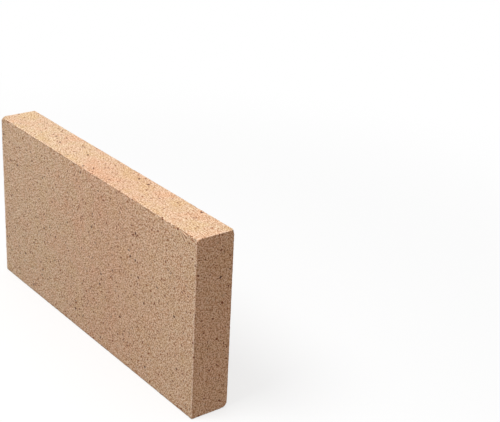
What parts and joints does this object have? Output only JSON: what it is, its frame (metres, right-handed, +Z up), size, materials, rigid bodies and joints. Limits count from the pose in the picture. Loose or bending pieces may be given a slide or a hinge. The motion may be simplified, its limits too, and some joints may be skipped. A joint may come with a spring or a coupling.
{
  "type": "refractory firebrick",
  "caption": "Split refractory firebrick: a thin rectangular slab of fired fireclay with eased, chipped arrises, set on its long narrow side.",
  "frame": {"origin": "middle of the long narrow side that the brick stands on", "axes": "+X along the length, +Y through the thickness from the front bed face to the back one, +Z up across the width"},
  "size_m": [0.2286, 0.0254, 0.1143],
  "materials": {
    "fireclay": "unglazed fired fireclay, matt and sandy to the touch, pale buff to peach with fine dark iron specks"
  },
  "bodies": {
    "root": {"firebrick": "fireclay"}
  },
  "joints": []
}
